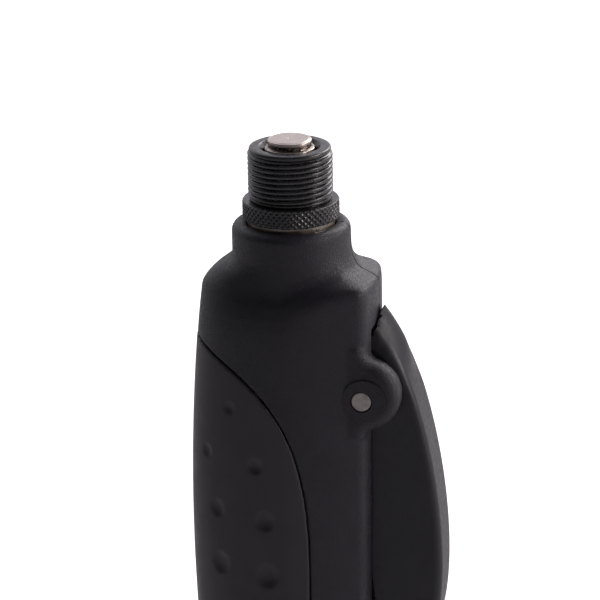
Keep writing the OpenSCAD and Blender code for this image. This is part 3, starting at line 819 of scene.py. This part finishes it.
def under_ledge(place, crown):
    """Keeps a point of the lever under the ledge's sloping lower face, and lower where crowned."""
    top = place.x + lever_roof - 0.1 * crown ** 2 + lever_lip * eased((place.x - lever_lip_x) / 1.2)
    return Vector((place.x, min(place.y, top)))


def lever_face(sunk, crown=0):
    """Points of the lever's outer face, sunk into it by that much and by a crown at its upper end."""
    points = []
    for curve, steps, first in ((lever_upper, 54, 0), (lever_lower, 20, 1)):
        for i in range(first, steps + 1):
            t = i / steps
            place = bezier(curve, t)
            ahead = bezier(curve, min(1, t + 0.01)) - bezier(curve, max(0, t - 0.01))
            inward = Vector((ahead.y, -ahead.x)).normalized()
            raised = hump * eased((place.y - hump_low) / hump_span)
            lowered = crown * eased((place.y - crown_low) / crown_span) ** 1.5
            place += inward * (sunk + lowered - raised)
            points.append(under_ledge(place, crown))
    return points


# Layers across its width: the rounded outer edge, then the crowned face between the two edges
lever_layers = []
edge = [(lever_half - lever_edge_r * (1 - math.cos(a)), lever_edge_r * (1 - math.sin(a)))
        for a in between(0, math.pi / 2, 9)]
for y, sunk in edge + [(y, 0) for y in between(lever_half - lever_edge_r, 0, 8)[1:]]:
    outline = lever_face(sunk, lever_crown * (y / lever_half) ** 1.6)
    lever_layers.append((y, outline + [Vector(p) for p in inner_edge]))
lever_layers += [(-y, outline) for y, outline in reversed(lever_layers[:-1])]
lever = new_object("trigger_lever_moulded", stacked(lever_layers))
channel = [p for p in lever_face(lever_wall) if lever_tip + 4 < p.y < 119.5]
channel += [Vector((10, lever_tip + 2.5)), Vector((10, 119))]
combine(lever, prism(channel, lever_half - lever_wall))
combine(lever, cross_rod(pin_x, pin_z, lever_boss_r, -lever_half + 0.02, lever_half - 0.02), "UNION")
finger = [(finger_end, pin_z - finger_rise), (pin_x, pin_z - finger_rise),
          (pin_x, pin_z + finger_rise), (finger_end, pin_z + finger_rise)]
combine(lever, prism(finger, finger_half), "UNION")
combine(lever, cross_rod(pin_x, pin_z, lever_bore_r, -30, 30))

lever_grain, tree, shader = new_finish("lever_nylon", (0.0135, 0.0122, 0.0165), 0.42, specular=0.42)
tint = graded(tree, speckle(tree, 0.01, 3), 0.3, 0.7,
              [(0, (0.0115, 0.0102, 0.014)), (1, (0.016, 0.0145, 0.0195))])
tree.links.new(tint, shader.inputs["Base Color"])
varied(tree, shader, "Roughness", speckle(tree, 0.0008, 3), 0.36, 0.5)
raise_surface(tree, shader, speckle(tree, 0.00022, 2), 0.00001)
settle(lever, "lever", "trigger_lever", lever_grain, crease=38)

# ---- Lever pin ----
# Ground steel rod, pressed through the lever, whose ends turn in the ears. Its ends are faced
# and chamfered, and they lie just below the faces of the bosses.

pin_r = 1.95
pin_half = 11.2
pin_corners = [(0, -pin_half, 0), (pin_r, -pin_half, 0.25), (pin_r, pin_half, 0.25), (0, pin_half, 0)]
bm = turned(rounded_outline(pin_corners, arc=6), 64)
bmesh.ops.rotate(bm, cent=(0, 0, 0), matrix=Matrix.Rotation(math.pi / 2, 3, "X"), verts=bm.verts)
bmesh.ops.translate(bm, vec=(pin_x, 0, pin_z), verts=bm.verts)
pin = new_object("lever_pin_ground", bm)

pin_steel, tree, shader = new_finish("pin_steel", (0.36, 0.325, 0.31), 0.42, metallic=1.0)
tint = graded(tree, speckle(tree, 0.0009, 5), 0.3, 0.7,
              [(0, (0.29, 0.26, 0.245)), (1, (0.41, 0.37, 0.355))])
tree.links.new(tint, shader.inputs["Base Color"])
raise_surface(tree, shader, speckle(tree, 0.0002, 3), 0.000012)
settle(pin, "lever", "lever_pin", pin_steel, crease=40)

# ---- Gas cartridge and its pad ----
# A zinc-plated drawn steel cartridge with a domed base and a narrow pierced neck. It sits on a
# rubber pad in the cap and shows only when the cap is off.

dress("co2_cartridge", zinc)
dress("cap_pad", seal_rubber)

# ---- Screw cap ----
# Turned aluminium, anodised black like the nozzle, with shallow flutes for the fingers. It
# screws over the tube's lower end, drives the cartridge up, and is the foot it stands on.

cap_r = 13.4
cap_h = 13.7
cap_inner_r = 12.15
cap_floor = 3
flute_low = 2.6
flute_top = 11.6
flute_end = 0.6
flute_count = 18
flute_share = 0.42
flute_depth = 0.35
side_rows = [(cap_r, z, 0) for z in between(2.0, 12.6, 40)]
cap_corners = ([(0, 0, 0), (cap_r, 0, 1.5)] + side_rows
               + [(cap_r, cap_h, 0.5), (cap_inner_r, cap_h, 0),
                  (cap_inner_r, cap_floor, 0), (0, cap_floor, 0)])
bm = turned(rounded_outline(cap_corners, arc=7), 288)
for v in bm.verts:
    reach = math.hypot(v.co.x, v.co.y)
    if abs(reach - cap_r) < 0.01 and flute_low - 1 < v.co.z < flute_top + 1:
        turn = math.atan2(v.co.y, v.co.x) / (2 * math.pi)
        off_middle = abs((flute_count * turn + 0.5) % 1 - 0.5)
        width = max(0, 1 - (2 * off_middle / flute_share) ** 2)
        ends = min(eased((v.co.z - flute_low + flute_end) / 0.9),
                   eased((flute_top + flute_end - v.co.z) / 0.9))
        sunk = flute_depth * width * ends
        v.co.x *= 1 - sunk / reach
        v.co.y *= 1 - sunk / reach
cap = new_object("bottom_cap_turned", bm)
settle(cap, "cap", "bottom_cap", black_anodised, crease=40)

# ---- Studio ----
# A plain pale floor, and a surround that is seen as white but gives most of its light from
# behind. Of three soft lamps, one is to the right, one behind to the right, and a weak one above
# in front.

floor_half = 3
floor_glow = 0.85
bm = bmesh.new()
bmesh.ops.create_grid(bm, x_segments=1, y_segments=1, size=floor_half)
floor = new_object("floor", bm)
floor_paint, tree, shader = new_finish("floor_paint", (0.8, 0.8, 0.8), 0.9, specular=0.1)
seen = tree.nodes.new("ShaderNodeLightPath")
glow = tree.nodes.new("ShaderNodeMath")
glow.operation = "MULTIPLY"
glow.inputs[1].default_value = floor_glow
tree.links.new(seen.outputs["Is Camera Ray"], glow.inputs[0])
tree.links.new(glow.outputs["Value"], shader.inputs["Emission Strength"])
shader.inputs["Emission Color"].default_value = (1, 1, 1, 1)
floor.data.materials.append(floor_paint)

world = bpy.data.worlds.new("surround")
bpy.context.scene.world = world
world.use_nodes = True
tree = world.node_tree
tree.nodes.clear()
out = tree.nodes.new("ShaderNodeOutputWorld")
seen = tree.nodes.new("ShaderNodeLightPath")
place = tree.nodes.new("ShaderNodeTexCoord")
split = tree.nodes.new("ShaderNodeSeparateXYZ")
tree.links.new(place.outputs["Generated"], split.inputs["Vector"])
sweep = tree.nodes.new("ShaderNodeMapRange")
sweep.inputs["From Min"].default_value = -0.2
sweep.inputs["From Max"].default_value = 0.6
sweep.inputs["To Min"].default_value = 0.03
sweep.inputs["To Max"].default_value = 0.85
sweep.interpolation_type = "SMOOTHSTEP"
tree.links.new(split.outputs["Y"], sweep.inputs["Value"])
studio = tree.nodes.new("ShaderNodeBackground")
studio.inputs["Color"].default_value = (0.95, 0.92, 1, 1)
tree.links.new(sweep.outputs["Result"], studio.inputs["Strength"])
white = tree.nodes.new("ShaderNodeBackground")
white.inputs["Color"].default_value = (1, 1, 1, 1)
white.inputs["Strength"].default_value = 1
choose = tree.nodes.new("ShaderNodeMixShader")
tree.links.new(seen.outputs["Is Camera Ray"], choose.inputs[0])
tree.links.new(studio.outputs["Background"], choose.inputs[1])
tree.links.new(white.outputs["Background"], choose.inputs[2])
tree.links.new(choose.outputs["Shader"], out.inputs["Surface"])

aim = Vector((0, 0, 0.11))
# Each lamp's name, azimuth, elevation, distance, size, power and colour
lamps = [("right_lamp", 88, 18, 0.9, 0.36, 3.5, (1, 0.93, 0.94)),
         ("rear_lamp", 155, 30, 0.9, 0.4, 3.0, (1, 0.95, 0.93)),
         ("front_lamp", -10, 62, 1.1, 0.5, 0.22, (0.84, 0.8, 1))]
for name, azimuth, elevation, distance, size, power, colour in lamps:
    a, e = math.radians(azimuth), math.radians(elevation)
    away = Vector((math.sin(a) * math.cos(e), -math.cos(a) * math.cos(e), math.sin(e)))
    lamp = bpy.data.objects.new(name, bpy.data.lights.new(name, "AREA"))
    lamp.data.size = size
    lamp.data.energy = power
    lamp.data.color = colour
    lamp.location = aim + away * distance
    lamp.rotation_euler = (-away).to_track_quat("-Z", "Y").to_euler()
    bpy.context.scene.collection.objects.link(lamp)

view_azimuth = math.radians(10)
view_elevation = math.radians(18.5)
view_roll = math.radians(-1.1)
view_distance = 0.95
view_target = Vector((0.00102, 0.00205, 0.12549))
pixel = 0.000189
view_width = 600 * pixel
sensor = 36
back = Vector((math.sin(view_azimuth) * math.cos(view_elevation),
               -math.cos(view_azimuth) * math.cos(view_elevation), math.sin(view_elevation)))
level = Vector((math.cos(view_azimuth), math.sin(view_azimuth), 0))
upright = back.cross(level)
right = level * math.cos(view_roll) + upright * math.sin(view_roll)
up = upright * math.cos(view_roll) - level * math.sin(view_roll)
camera = bpy.data.objects.new("camera", bpy.data.cameras.new("camera"))
bpy.context.scene.collection.objects.link(camera)
camera.data.sensor_width = sensor
camera.data.lens = sensor * view_distance / view_width
camera.data.clip_end = 20
facing = Matrix((right, up, back)).transposed().to_4x4()
camera.matrix_world = Matrix.Translation(view_target + back * view_distance) @ facing
bpy.context.scene.camera = camera
bpy.context.scene.view_settings.view_transform = "Standard"
